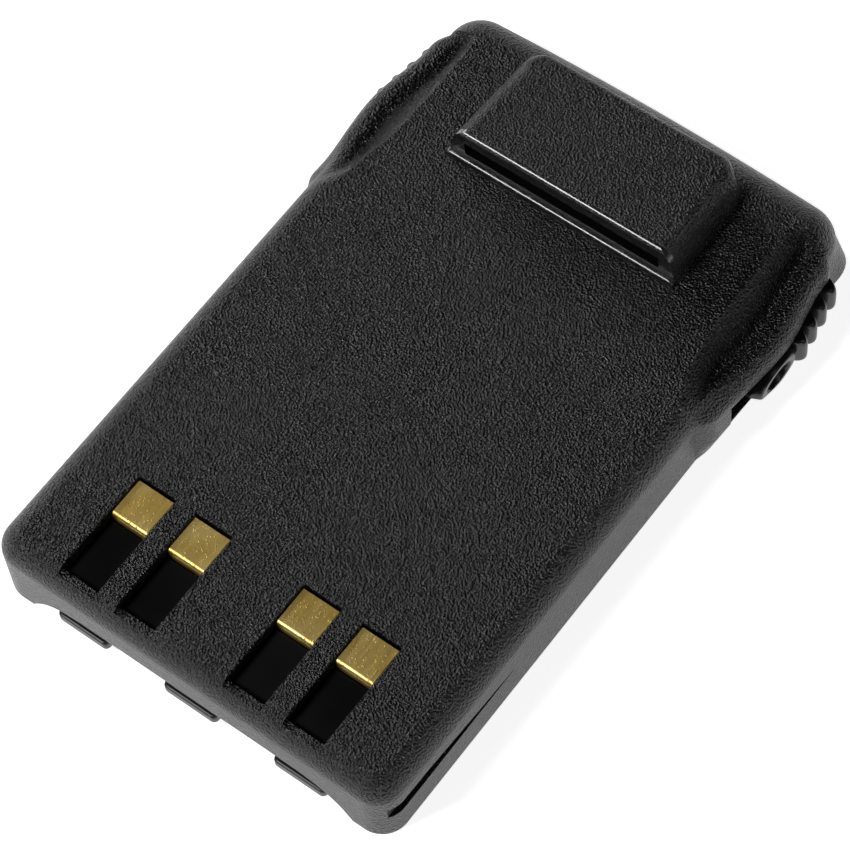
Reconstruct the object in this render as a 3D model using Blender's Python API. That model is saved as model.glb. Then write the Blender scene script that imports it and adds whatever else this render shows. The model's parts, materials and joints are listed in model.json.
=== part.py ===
"""Clip-on battery pack of a small portable two-way radio, lying with its radio side down.

+Z points out of the pack's rear face, +Y runs from the hook end to the latch end, and the
origin is the middle of the footprint. Sizes are in millimetres until add_piece makes metres.
"""
import math

import bmesh
import bpy
import numpy as np
from mathutils import Matrix

MM = 0.001
GAP = 0.3                      # clearance between pieces that touch

# Housing
HALF_WIDTH = 26.5
HALF_LENGTH = 43.5
HEIGHT = 10.35                 # rim on the radio side to the flat rear face
WALL = 1.5
CEILING = HEIGHT - 1.6         # inside of the rear wall
HOOK_END_CORNER = 3.2
LATCH_END_CORNER = 4.4
LATCH_END_CROWN = 0.5          # how far the latch end bows out
LATCH_END_DRAFT = 0.5          # how far the end wall there leans out towards the rim
SIDE_DRAFT = 0.2               # the same for the side walls beside the latch end
CORNER_DRAFT = 3.4             # sharpens the rim's corner between them
SHOULDER_TAPER = 0.4           # the sides lean in by this much towards the latch end
EDGE_RADIUS = 3.0              # rear edge along the lower half
SHOULDER_RADIUS = 4.5          # rear edge beside the latches
SHOULDER_START = 10.5
SHOULDER_END = 25.0
SHOULDER_FADE = 34.0           # from here the edge goes down to the corner's radius
FADE_LENGTH = 4.0
CORNER_EDGE_RADIUS = 4.2
WALL_LEVELS = (0.0, 0.22, 0.45, 0.7, 1.0)
EDGE_ANGLES = (7, 14, 20, 26, 32, 38, 46, 56, 66, 78, 90)
INNER_INSET = 1.9              # of the ceiling from the outside of the wall
INNER_EXTRA_SHARE = 0.6
INNER_TROUGH_INSET = 2.0
WALL_TROUGH_INSET = 2.4
INNER_CORNER_DROP = 0.4
INNER_EXTRA_DROP = 0.8
INNER_TROUGH_DROP = 1.0
INNER_CORNER_STEP = 0.3
WALL_TROUGH_STEP = 0.9

# Latch guards, the brims over the latches with a trough between each and the rear face
GUARD_START = 11.9
GUARD_FALL = 26.0              # from here it sinks to its last share beside the grip ribs
GUARD_FALL_LENGTH = 9.5
GUARD_LAST_SHARE = 0.5
GUARD_ROUND_END = 35.8         # from here its end rounds off
GUARD_END = 38.0
DRAFT_START = 31.0             # from here the walls lean out
DRAFT_LENGTH = 8.0
GUARD_SWELL = 2.4
GUARD_RISE_LENGTH = 2.6
GUARD_GROW_START = 14.0
GUARD_GROW_LENGTH = 12.0
GUARD_FOOT_SHARE = 0.4
GUARD_FOOT_HEIGHT = 2.6
GUARD_FIRST_SHARE = 0.5        # of the swell, at the start of the brim
GUARD_SLOPE = 1.7              # width of the slope from the trough up to the brim
TROUGH_START_ANGLE = 26.0      # where the brim starts on the rounded edge, in degrees
TROUGH_END_ANGLE = 38.0
TROUGH_FADE = 9.0              # length over which it grows
TROUGH_ROUND = 35.5            # from here it closes in a round end
TROUGH_STOP = 38.0
# Across the brim and its trough, one row per point: share of the rounded edge, share of the
# brim's reach, distance out, height above the start of the edge
TROUGH_PROFILE = np.array((
    (0.00, 1.00, 0.00, 0.00), (0.08, 1.00, -0.03, 0.60), (0.16, 1.00, -0.20, 1.20),
    (0.24, 1.00, -0.55, 1.70), (0.32, 1.00, -1.05, 2.10), (0.40, 1.00, -1.65, 2.28),
    (0.47, 1.00, -2.25, 2.25), (0.53, 1.00, -2.80, 2.00), (0.58, 1.00, -3.25, 1.68),
    (0.62, 1.00, -3.55, 1.60), (0.68, 0.85, -3.75, 2.05), (0.76, 0.50, -3.85, 2.95),
    (0.85, 0.20, -4.05, 3.80), (0.93, 0.05, -4.27, 4.28), (1.00, 0.00, -4.50, 4.50)))

# End wall cut-away between the two corner feet, and the groove along the side of each foot
FOOT_HALF_GAP = 21.9
FOOT_STEPS = ((-0.4, -1.0), (0.0, 0.4), (0.7, 1.6), (2.3, 2.7), (5.4, 3.6), (10.9, 4.1))
FOOT_CUT_DEPTH = 2.2
GROOVE_LOW = 4.2
GROOVE_HIGH = 6.1
GROOVE_BEND = -36.0
GROOVE_END = -20.6
GROOVE_DEPTH = 0.7

# Belt clip socket
SOCKET_HALF_WIDTH = 15.3
SOCKET_FRONT = 23.95
SOCKET_BACK = 38.65
SOCKET_HEIGHT = 4.9            # at the front; the top slopes down to the back
SOCKET_SLOPE = 0.7
SOCKET_DRAFT = 0.5             # the sides close in towards the back by this much
SOCKET_LEAN = 0.6              # the sides lean in by this much from root to roof
SOCKET_EDGE = 2.2
SOCKET_BACK_EDGE = 0.9
SOCKET_CORNER = 2.8
SOCKET_FRONT_EDGE = 0.8        # the front is flat, with this small edge at the roof
SOCKET_ROOT = 0.5              # how far the socket and its lip reach into the rear wall
LIP_FRONT = 23.2
LIP_HALF_WIDTH = 15.4
LIP_HEIGHT = 0.85
SLOT_HALF_WIDTH = 13.1
SLOT_LOW = 1.25
SLOT_HIGH = 3.12

# Charging contacts
CONTACT_LEFT_EDGES = (-17.55, -9.85, 4.75, 12.55)
CONTACT_WIDTH = 4.8
CONTACT_FRONT = -33.25
CONTACT_BACK = -28.5
CONTACT_TOP = HEIGHT - 0.3
STRIP = 0.25                   # thickness of the contact strips
WINDOW_MARGIN = 0.08
WINDOW_FRONT = -41.3
WINDOW_BACK = -28.15
CHANNEL_DEPTH = 0.55           # shallow run of each channel over the rounded end
POCKET_FLOOR = HEIGHT - 1.4    # glossy floor seen in each window
BLOCK_TOP = HEIGHT - 1.9       # top of the contact block under the housing wall
BLOCK_HALF_WIDTH = 20.0
BLOCK_BACK = -27.6
BEND_RADIUS = 0.45

# Contacts to the radio, in windows of the cover
RADIO_CONTACTS = (-9.0, 0.0, 9.0)
RADIO_CONTACT_WIDTH = 3.0
RADIO_CONTACT_START = -37.9
RADIO_CONTACT_END = -32.2

# Insides
BOARD_TOP = 5.45
BOARD_THICK = 0.8
COVER_LOW = 0.9
COVER_HIGH = 2.05
CELL_LOW = 2.95
CELL_HIGH = 7.95
CELL_HALF_WIDTH = 21.2
CELL_LENGTH = 33.8
CELL_STARTS = (-27.0, 7.2)
STRAP = 0.2
STRAP_START = -29.5
STRAP_OVERLAP = 2.0
STRAP_GAP = 6.0
TERMINAL_HALF_LENGTH = 3.2
TERMINAL_HALF_HEIGHT = 1.6
TAPE_HALF_WIDTH = 16.0
FOAM_HALF_WIDTH = 17.0
LABEL_HALF_WIDTH = 18.6
LABEL_START = -21.6
LABEL_END = 33.6
LABEL_MARGIN = 0.4

# Hook tabs on the cover
FLANGE_HALF_WIDTH = 20.0       # flange that closes the end wall's cut-away from inside
FLANGE_TOP = 5.0
TAB_LENGTH_END = -43.5
TAB_LOW = 0.9
TAB_HIGH = 2.33
TABS = ((-18.14, -11.24), (-3.58, 3.58), (11.24, 18.14))

# Latches
LATCH_TRAVEL = 3.0
BAY_START = 16.9
BAY_END = 37.6
BAY_LOW = 0.8
BAY_HIGH = 5.6
BAY_FLOOR = 25.4               # distance of the bay's floor from the middle plane
LATCH_START = 20.2
LATCH_END = 37.2
LATCH_LOW = 1.15
LATCH_HIGH = 5.2
LATCH_FACE = 27.9
LATCH_LEAN = 0.15              # the face leans in by this much per millimetre along the ribs
RIB_PITCH = 2.4
RIB_COUNT = 4
RIB_FIRST = 28.7
RIB_HEIGHT = 1.7
ARROW_HEIGHT = 1.1
STEM_START = 24.0
STEM_END = 32.0
STEM_INNER = 22.4
HOOK_LENGTH = 5.0
HOOK_REACH = 24.3
HOOK_LOW = 0.25

# Springs, between the seat and the stem
SPRING_START = 17.9
SPRING_CENTRE = 23.4
SPRING_RADIUS = 0.95
SPRING_WIRE = 0.16
SPRING_TURNS = 7


def material(name, colour, roughness, metallic=0.0):
    """A Principled material of one colour."""
    made = bpy.data.materials.get(name) or bpy.data.materials.new(name)
    made.use_nodes = True
    shader = made.node_tree.nodes["Principled BSDF"]
    shader.inputs["Base Color"].default_value = (*colour, 1.0)
    shader.inputs["Roughness"].default_value = roughness
    shader.inputs["Metallic"].default_value = metallic
    return made


def add_piece(name, points, faces, finish, smooth_angle=0.0):
    """Makes one closed object from points in millimetres."""
    mesh = bpy.data.meshes.new(name)
    mesh.from_pydata([tuple(float(v) * MM for v in p) for p in points], [], faces)
    shape = bmesh.new()
    shape.from_mesh(mesh)
    bmesh.ops.recalc_face_normals(shape, faces=shape.faces)
    shape.to_mesh(mesh)
    shape.free()
    if smooth_angle:
        mesh.shade_smooth()
        mesh.set_sharp_from_angle(angle=math.radians(smooth_angle))
    mesh.materials.append(finish)
    piece = bpy.data.objects.new(name, mesh)
    bpy.context.scene.collection.objects.link(piece)
    return piece


def ring_stack(rings, closed_loop=False):
    """Faces that join equal rings of points, one after the other, with flat ends."""
    rings = [np.asarray(ring, dtype=float) for ring in rings]
    count = len(rings[0])
    points = np.vstack(rings)
    faces = []
    for level in range(len(rings) - 1):
        for i in range(count):
            j = (i + 1) % count
            a, b = level * count, (level + 1) * count
            faces.append((a + i, a + j, b + j, b + i))
    if closed_loop:
        last = (len(rings) - 1) * count
        faces += [(last + i, last + (i + 1) % count, (i + 1) % count, i) for i in range(count)]
    else:
        faces.append(tuple(range(count - 1, -1, -1)))
        faces.append(tuple((len(rings) - 1) * count + i for i in range(count)))
    return points, faces


def rounded_rectangle(x0, x1, y0, y1, radius, steps=4):
    """Corner points of a rectangle with round corners, anticlockwise."""
    points = []
    corners = ((x1 - radius, y0 + radius, -90), (x1 - radius, y1 - radius, 0),
               (x0 + radius, y1 - radius, 90), (x0 + radius, y0 + radius, 180))
    for cx, cy, start in corners:
        for k in range(steps + 1):
            angle = math.radians(start + 90 * k / steps)
            points.append((cx + radius * math.cos(angle), cy + radius * math.sin(angle)))
    return np.array(points)


def prism(outline, low, high, axis="z"):
    """Rings of an outline at two heights; axis says which way it is extruded."""
    order = {"z": (0, 1, 2), "x": (2, 0, 1), "y": (0, 2, 1)}[axis]
    rings = []
    for height in (low, high):
        flat = np.c_[outline, np.full(len(outline), height)]
        rings.append(flat[:, order])
    return rings


def add_plate(name, x0, x1, y0, y1, z0, z1, finish, radius=0.0):
    """A flat block with its long edges upright, round where radius is given."""
    if radius:
        outline = rounded_rectangle(x0, x1, y0, y1, radius)
    else:
        outline = np.array(((x0, y0), (x1, y0), (x1, y1), (x0, y1)))
    return add_piece(name, *ring_stack(prism(outline, z0, z1)), finish, 40 if radius else 0)


def combine(target, tool, operation):
    """Joins a tool shape to the target or cuts it away, and hides the tool."""
    tool.hide_render = True
    tool.display_type = "WIRE"
    step = target.modifiers.new(tool.name, "BOOLEAN")
    step.operation = operation
    step.solver = "EXACT"
    step.object = tool


def cut_box(target, name, x0, x1, y0, y1, z0, z1):
    tool = add_plate(name, x0, x1, y0, y1, z0, z1, target.data.materials[0])
    combine(target, tool, "DIFFERENCE")


def join_box(target, name, x0, x1, y0, y1, z0, z1):
    tool = add_plate(name, x0, x1, y0, y1, z0, z1, target.data.materials[0])
    combine(target, tool, "UNION")


# ---------------------------------------------------------------- housing

def ease(value):
    """Smooth step from 0 to 1."""
    value = np.clip(value, 0.0, 1.0)
    return value * value * (3 - 2 * value)


def side_distance(y):
    """Half width of the housing at y, leaning in a little towards the latch end."""
    return HALF_WIDTH - SHOULDER_TAPER * ease((y - SHOULDER_START) / 18)


def half_outline():
    """Right half of the housing's outline, from the middle of the hook end to the latch end."""
    inner = HALF_WIDTH - HOOK_END_CORNER
    points = [(x, -HALF_LENGTH) for x in (0.0, 7.5, 15.0, 19.5)]
    for angle in np.radians(np.linspace(-90, 0, 7)):
        points.append((inner + HOOK_END_CORNER * math.cos(angle),
                       HOOK_END_CORNER - HALF_LENGTH + HOOK_END_CORNER * math.sin(angle)))
    end_y = HALF_LENGTH - LATCH_END_DRAFT
    top_x = side_distance(HALF_LENGTH) - LATCH_END_CORNER
    top_y = end_y - LATCH_END_CROWN - LATCH_END_CORNER
    lower = np.linspace(-36.0, 10.5, 5)
    guarded = np.linspace(11.9, top_y - 0.6, 18)
    points += [(side_distance(y), y) for y in (*lower, *guarded)]
    for angle in np.radians(np.linspace(0, 87, 9)):
        points.append((top_x + LATCH_END_CORNER * math.cos(angle),
                       top_y + LATCH_END_CORNER * math.sin(angle)))
    for x in np.linspace(18.0, 0.0, 5):
        points.append((x, end_y - LATCH_END_CROWN * (x / top_x) ** 2))
    return np.array(points)


def full_outline():
    """The closed outline with its outward normals."""
    right = half_outline()
    left = right[-2:0:-1] * (-1, 1)
    outline = np.vstack((right, left))
    along = np.roll(outline, -1, axis=0) - np.roll(outline, 1, axis=0)
    normals = np.c_[along[:, 1], -along[:, 0]]
    normals /= np.linalg.norm(normals, axis=1)[:, None]
    return outline, normals


def guard_swell(y, angle, height, edge):
    """How far the guard stands out of the plain housing.

    angle is the place on the rounded edge, 0 at the side and 90 degrees on the rear face;
    below the edge, height says how far up the side wall it is.
    """
    travel = np.clip((y - GUARD_START) / (GUARD_END - GUARD_START), 0, 1)
    rise = np.sin(np.pi / 2 * np.clip((y - GUARD_START) / GUARD_RISE_LENGTH, 0, 1))
    fall = 1 - (1 - GUARD_LAST_SHARE) * ease((y - GUARD_FALL) / GUARD_FALL_LENGTH)
    fall *= 1 - np.clip((y - GUARD_ROUND_END) / (GUARD_END - GUARD_ROUND_END), 0, 1) ** 2
    grown = ease((y - GUARD_GROW_START) / GUARD_GROW_LENGTH)
    grown = GUARD_FIRST_SHARE + (1 - GUARD_FIRST_SHARE) * grown
    reach = GUARD_SWELL * grown * rise * fall
    trough = np.radians(TROUGH_START_ANGLE + (TROUGH_END_ANGLE - TROUGH_START_ANGLE) * travel)
    across = np.sin(np.pi / 2 * np.clip((trough - angle) * edge / GUARD_SLOPE, 0, 1))
    foot = GUARD_FOOT_SHARE + (1 - GUARD_FOOT_SHARE) * ease(height / GUARD_FOOT_HEIGHT)
    return reach * across * foot


def trough_share(y):
    """How much of the trough there is at y: it fades in and closes in a quarter circle."""
    closing = np.clip((y - TROUGH_ROUND) / (TROUGH_STOP - TROUGH_ROUND), 0, 1)
    return ease((y - GUARD_START) / TROUGH_FADE) * np.sqrt(1 - closing ** 2)


def with_trough(y, angle, out, height, reach):
    """Moves a ring of the rounded edge onto the profile of the brim and its trough."""
    share, follow, offset, rise = TROUGH_PROFILE.T
    place = angle / (np.pi / 2)
    deep_out = np.interp(place, share, offset) + np.interp(place, share, follow) * reach
    deep_height = HEIGHT - SHOULDER_RADIUS + np.interp(place, share, rise)
    depth = trough_share(y)
    return out + depth * (deep_out - out), height + depth * (deep_height - height)


def shell_rings():
    """Outer rings from the rim up to the rear face, and inner rings from the ceiling down."""
    outline, normals = full_outline()
    y = outline[:, 1]
    grow = ease((y - SHOULDER_START) / (SHOULDER_END - SHOULDER_START))
    fade = ease((y - SHOULDER_FADE) / FADE_LENGTH)
    extra = (SHOULDER_RADIUS - EDGE_RADIUS) * grow - (SHOULDER_RADIUS - CORNER_EDGE_RADIUS) * fade
    edge = EDGE_RADIUS + extra
    side, end = np.abs(normals).T
    lean = LATCH_END_DRAFT + (SIDE_DRAFT - LATCH_END_DRAFT) * side + CORNER_DRAFT * side * end ** 2
    draft = lean * ease((y - DRAFT_START) / DRAFT_LENGTH)
    outer = []
    for part in WALL_LEVELS:
        height = part * (HEIGHT - edge)
        out = guard_swell(y, np.zeros_like(y), height, edge) + draft * (1 - part)
        outer.append(np.c_[outline + normals * out[:, None], height])
    reach = guard_swell(y, np.zeros_like(y), HEIGHT - edge, edge)
    for angle in np.radians(EDGE_ANGLES):
        swell = guard_swell(y, np.full_like(y, angle), HEIGHT - edge, edge)
        out = swell * math.cos(angle) - edge * (1 - math.cos(angle))
        height = HEIGHT - edge * (1 - math.sin(angle)) + swell * math.sin(angle)
        out, height = with_trough(y, angle, out, height, reach)
        outer.append(np.c_[outline + normals * out[:, None], height])
    deep = trough_share(y)
    inset = INNER_INSET + INNER_EXTRA_SHARE * extra + INNER_TROUGH_INSET * deep
    ceiling = outline - normals * inset[:, None]
    under = outline - normals * (WALL + WALL_TROUGH_INSET * deep)[:, None]
    wall = outline - normals * WALL
    corner = CEILING - INNER_CORNER_DROP - INNER_EXTRA_DROP * extra - INNER_TROUGH_DROP * deep
    step = INNER_CORNER_STEP + WALL_TROUGH_STEP * deep
    inner = [np.c_[ceiling, np.full_like(y, CEILING)], np.c_[under, corner],
             np.c_[wall, corner - step], np.c_[wall, np.zeros_like(y)]]
    return outer, inner


def add_rear_shell(plastic):
    """Moulded outer housing with belt clip socket, latch bays and contact windows."""
    outer, inner = shell_rings()
    points, faces = ring_stack(outer + inner, closed_loop=True)
    count = len(outer[0])
    top = (len(outer) - 1) * count
    faces = [face for face in faces if min(face) < top or max(face) >= top + 2 * count]
    faces.append(tuple(top + i for i in range(count)))
    faces.append(tuple(top + count + i for i in range(count - 1, -1, -1)))
    shell = add_piece("rear_shell", points, faces, plastic, 35)
    combine(shell, add_socket(plastic), "UNION")
    join_box(shell, "socket_lip", -LIP_HALF_WIDTH, LIP_HALF_WIDTH, LIP_FRONT,
             SOCKET_FRONT + 1.0, HEIGHT - SOCKET_ROOT + 0.1, HEIGHT + LIP_HEIGHT)
    cut_box(shell, "clip_slot", -SLOT_HALF_WIDTH, SLOT_HALF_WIDTH, SOCKET_FRONT - 2,
            SOCKET_BACK - WALL, HEIGHT + SLOT_LOW, HEIGHT + SLOT_HIGH)
    for index, left in enumerate(CONTACT_LEFT_EDGES, 1):
        cut_contact_channel(shell, f"contact_channel_{index}", left)
    cut_feet(shell)
    for side, name in ((-1, "left"), (1, "right")):
        cut_latch_bay(shell, side, name)
        cut_side_groove(shell, side, name)
    return shell


def cut_contact_channel(shell, name, left):
    """Window through the rear wall, with a shallow channel from it over the rounded end."""
    run = HEIGHT - CHANNEL_DEPTH
    outside = -HALF_LENGTH - 1
    below = CEILING - 1
    above = HEIGHT + 1
    side_view = np.array(((outside, run), (WINDOW_FRONT, run), (WINDOW_FRONT, below),
                          (WINDOW_BACK, below), (WINDOW_BACK, above), (outside, above)))
    rings = prism(side_view, left - WINDOW_MARGIN, left + CONTACT_WIDTH + WINDOW_MARGIN, "x")
    combine(shell, add_piece(name, *ring_stack(rings), shell.data.materials[0]), "DIFFERENCE")


def cut_feet(shell):
    """Takes the lower part of the end wall away between the corner feet."""
    right = np.array([(FOOT_HALF_GAP - inward, height) for inward, height in FOOT_STEPS])
    rings = prism(np.vstack((right, right[::-1] * (-1, 1))), -HALF_LENGTH - 1,
                  -HALF_LENGTH + FOOT_CUT_DEPTH, "y")
    combine(shell, add_piece("foot_cut", *ring_stack(rings), shell.data.materials[0]),
            "DIFFERENCE")


def add_socket(plastic):
    """Raised box that the belt clip slides into, with round side and back edges."""
    outline = rounded_rectangle(-SOCKET_HALF_WIDTH, SOCKET_HALF_WIDTH,
                                SOCKET_FRONT - SOCKET_CORNER, SOCKET_BACK, SOCKET_CORNER, 6)
    outline = outline[outline[:, 1] > SOCKET_FRONT - 0.01]
    x, y = outline.T
    length = SOCKET_BACK - SOCKET_FRONT
    centre = np.clip(outline, (SOCKET_CORNER - SOCKET_HALF_WIDTH, SOCKET_FRONT),
                     (SOCKET_HALF_WIDTH - SOCKET_CORNER, SOCKET_BACK - SOCKET_CORNER))
    outward = (outline - centre) / SOCKET_CORNER
    at_front = y < SOCKET_FRONT + 0.01
    edge = SOCKET_EDGE + (SOCKET_BACK_EDGE - SOCKET_EDGE) * np.clip(outward[:, 1], 0, 1)
    draft = np.c_[-np.sign(x) * SOCKET_DRAFT * (y - SOCKET_FRONT) / length, np.zeros_like(y)]
    lean = np.c_[-np.sign(x) * SOCKET_LEAN, np.zeros_like(y)]
    rings = [np.c_[outline, np.full_like(x, HEIGHT - SOCKET_ROOT)],
             np.c_[outline, np.full_like(x, HEIGHT + 0.05)]]
    for angle in np.radians((0, 18, 36, 54, 72, 90)):
        drop = edge * (1 - math.sin(angle))
        near = np.clip(SOCKET_FRONT_EDGE - drop, 0, None)
        back = at_front * (SOCKET_FRONT_EDGE - np.sqrt(SOCKET_FRONT_EDGE ** 2 - near ** 2))
        ring = outline + draft + lean - outward * (edge * (1 - math.cos(angle)))[:, None]
        ring = ring + np.c_[np.zeros_like(y), back]
        roof = HEIGHT + SOCKET_HEIGHT - SOCKET_SLOPE * (ring[:, 1] - SOCKET_FRONT) / length
        rings.append(np.c_[ring, roof - drop])
    return add_piece("clip_socket", *ring_stack(rings), plastic, 40)


def cut_latch_bay(shell, side, name):
    """Open bay in the guard, a window in its floor for the latch stem, and a spring seat."""
    cut_box(shell, f"bay_{name}", *sorted((side * BAY_FLOOR, side * 35)), BAY_START, BAY_END,
            BAY_LOW, BAY_HIGH)
    window = sorted((side * (STEM_INNER - 0.4), side * (BAY_FLOOR + 1)))
    cut_box(shell, f"bay_window_{name}", *window, STEM_START - LATCH_TRAVEL - 0.4,
            STEM_END + 0.4, BAY_LOW + 0.2, BAY_HIGH - 0.2)
    seat = sorted((side * STEM_INNER, side * (BAY_FLOOR - 0.2)))
    join_box(shell, f"spring_seat_{name}", *seat, SPRING_START - 1.6, SPRING_START - 0.2,
             COVER_HIGH + GAP, CEILING + 0.4)


def cut_side_groove(shell, side, name):
    """Groove along the side wall, widest at the hook end and running out to a point."""
    outside = -HALF_LENGTH - 2
    wedge = np.array(((outside, GROOVE_LOW), (GROOVE_BEND, GROOVE_LOW),
                      (GROOVE_END, GROOVE_LOW + 0.2), (GROOVE_BEND, GROOVE_HIGH - 0.3),
                      (outside, GROOVE_HIGH + 0.2)))
    reach = sorted((side * (HALF_WIDTH - GROOVE_DEPTH), side * (HALF_WIDTH + 2)))
    tool = add_piece(f"side_groove_{name}", *ring_stack(prism(wedge, *reach, "x")),
                     shell.data.materials[0])
    combine(shell, tool, "DIFFERENCE")


# ---------------------------------------------------------------- cover on the radio side

def add_inner_cover(plastic):
    """Flat cover inside the rim, with an end flange, three hook tabs and a label recess."""
    outline, normals = full_outline()
    edge = outline - normals * (WALL + GAP)
    cover = add_piece("inner_cover", *ring_stack(prism(edge, COVER_LOW, COVER_HIGH)), plastic)
    join_box(cover, "cover_flange", -FLANGE_HALF_WIDTH, FLANGE_HALF_WIDTH,
             -HALF_LENGTH + WALL + GAP, -HALF_LENGTH + 2 * WALL, COVER_HIGH - 0.2, FLANGE_TOP)
    for index, (x0, x1) in enumerate(TABS, 1):
        tool = add_plate(f"hook_tab_{index}", x0, x1, TAB_LENGTH_END, -HALF_LENGTH + 4.2,
                         TAB_LOW, TAB_HIGH, plastic, 0.5)
        combine(cover, tool, "UNION")
    cut_box(cover, "label_recess", -LABEL_HALF_WIDTH - LABEL_MARGIN,
            LABEL_HALF_WIDTH + LABEL_MARGIN, LABEL_START - LABEL_MARGIN, LABEL_END + LABEL_MARGIN,
            COVER_LOW - 1, COVER_LOW + 0.25)
    half = RADIO_CONTACT_WIDTH / 2 + 0.5
    for index, x in enumerate(RADIO_CONTACTS, 1):
        cut_box(cover, f"radio_window_{index}", x - half, x + half, RADIO_CONTACT_START - 0.5,
                RADIO_CONTACT_END + 0.6, COVER_LOW - 1, COVER_HIGH + 1)
    for side, name in ((-1, "left"), (1, "right")):
        reach = sorted((side * (STEM_INNER - 0.8), side * HALF_WIDTH))
        cut_box(cover, f"hook_window_{name}", *reach, STEM_START - LATCH_TRAVEL - 0.4,
                STEM_END + 0.4, COVER_LOW - 1, COVER_HIGH + 1)
    return cover


def add_label(paper):
    """Blank label stuck in the cover's recess."""
    add_plate("rating_label", -LABEL_HALF_WIDTH, LABEL_HALF_WIDTH, LABEL_START, LABEL_END,
              COVER_LOW - 0.2, COVER_LOW - 0.05, paper, 1.5)


# ---------------------------------------------------------------- contacts and circuit

def add_contact_block(nylon):
    """Glossy insert under the windows; its four lands carry the contact strips."""
    block = add_plate("contact_block", -BLOCK_HALF_WIDTH, BLOCK_HALF_WIDTH, WINDOW_FRONT - GAP,
                      BLOCK_BACK, BOARD_TOP + GAP, BLOCK_TOP, nylon)
    for index, left in enumerate(CONTACT_LEFT_EDGES, 1):
        x0, x1 = left, left + CONTACT_WIDTH
        join_box(block, f"pocket_floor_{index}", x0 + 0.22, x1 - 0.22, WINDOW_FRONT + GAP,
                 WINDOW_BACK - GAP, BLOCK_TOP - 0.5, POCKET_FLOOR)
        join_box(block, f"land_{index}", x0 + 0.3, x1 - 0.3, CONTACT_FRONT + STRIP + GAP,
                 WINDOW_BACK - GAP - 0.1, BLOCK_TOP - 0.3, CONTACT_TOP - STRIP - GAP)
        cut_box(block, f"land_slit_{index}", x0 - 0.05, x1 + 0.05, CONTACT_FRONT - GAP,
                CONTACT_FRONT + STRIP + GAP, BOARD_TOP, POCKET_FLOOR + 0.2)
    return block


def add_charge_contacts(gold):
    """Four gold-plated strips, bent over the front of their lands down to the board."""
    bend = BEND_RADIUS
    for index, left in enumerate(CONTACT_LEFT_EDGES, 1):
        outer = [(CONTACT_BACK, CONTACT_TOP)]
        inner = [(CONTACT_BACK, CONTACT_TOP - STRIP)]
        for angle in np.radians(np.linspace(90, 180, 5)):
            y = CONTACT_FRONT + bend + bend * math.cos(angle)
            outer.append((y, CONTACT_TOP - bend + bend * math.sin(angle)))
            y = CONTACT_FRONT + bend + (bend - STRIP) * math.cos(angle)
            inner.append((y, CONTACT_TOP - bend + (bend - STRIP) * math.sin(angle)))
        outer.append((CONTACT_FRONT, BOARD_TOP + GAP))
        inner.append((CONTACT_FRONT + STRIP, BOARD_TOP + GAP))
        outline = np.array(outer + inner[::-1])
        rings = prism(outline, left, left + CONTACT_WIDTH, "x")
        add_piece(f"charge_contact_{index}", *ring_stack(rings), gold, 40)


def add_radio_contacts(gold):
    """Three gold-plated strips that meet the radio's own contacts through the cover."""
    low, high = COVER_LOW + 0.1, BOARD_TOP - BOARD_THICK - GAP
    start, end = RADIO_CONTACT_START, RADIO_CONTACT_END
    outline = np.array(((start, low), (end, low), (end, high), (end - STRIP, high),
                        (end - STRIP, low + STRIP), (start, low + STRIP)))
    half = RADIO_CONTACT_WIDTH / 2
    for index, x in enumerate(RADIO_CONTACTS, 1):
        rings = prism(outline, x - half, x + half, "x")
        add_piece(f"radio_contact_{index}", *ring_stack(rings), gold)


def add_circuit(board_green, black, ceramic):
    """Protection board under the contact block, and the components on its lower side."""
    low = BOARD_TOP - BOARD_THICK
    add_plate("circuit_board", -19.5, 19.5, -39.6, -27.8, low, BOARD_TOP, board_green, 0.8)
    under = low - GAP
    add_plate("protection_chip", -16.4, -13.4, -35.6, -32.6, under - 1.1, under, black)
    add_plate("switch_chip", 13.2, 17.6, -36.2, -32.0, under - 1.2, under, black)
    add_plate("sense_resistor", 4.0, 6.6, -30.6, -29.2, under - 0.5, under, ceramic)
    add_plate("thermistor", -6.4, -4.2, -30.6, -29.4, under - 0.7, under, ceramic, 0.3)


# ---------------------------------------------------------------- cells

def add_cells(can, nickel, seal, tape, foam, paper):
    """Two flat cells with round long edges, their terminals, straps and padding."""
    for index, start in enumerate(CELL_STARTS, 1):
        thick = CELL_HIGH - CELL_LOW
        outline = rounded_rectangle(start, start + CELL_LENGTH, CELL_LOW, CELL_HIGH,
                                    thick / 2 - 0.1, 5)
        rings = prism(outline, -CELL_HALF_WIDTH, CELL_HALF_WIDTH, "x")
        add_piece(f"cell_{index}", *ring_stack(rings), can, 30)
        middle = start + CELL_LENGTH / 2
        height = (CELL_LOW + CELL_HIGH) / 2
        add_terminal_plate(f"terminal_seal_{index}", middle, height, 0.0, 0.02, 0.22, seal)
        add_terminal_plate(f"terminal_{index}", middle, height, 0.8, 0.25, 0.55, nickel)
        add_plate(f"cell_tape_{index}", -TAPE_HALF_WIDTH, TAPE_HALF_WIDTH, start + 4,
                  start + CELL_LENGTH - 4, CELL_HIGH + GAP, CELL_HIGH + GAP + 0.2, tape)
        add_plate(f"foam_pad_{index}", -FOAM_HALF_WIDTH, FOAM_HALF_WIDTH, start + 5,
                  start + CELL_LENGTH - 5, COVER_HIGH + GAP, CELL_LOW - GAP, foam, 1.0)
    add_plate("board_insulator", -BLOCK_HALF_WIDTH + 1, BLOCK_HALF_WIDTH - 1,
              CELL_STARTS[0] - 0.5, CELL_STARTS[0] - GAP, CELL_LOW, CELL_HIGH, paper)
    add_straps(nickel, seal)


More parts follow.
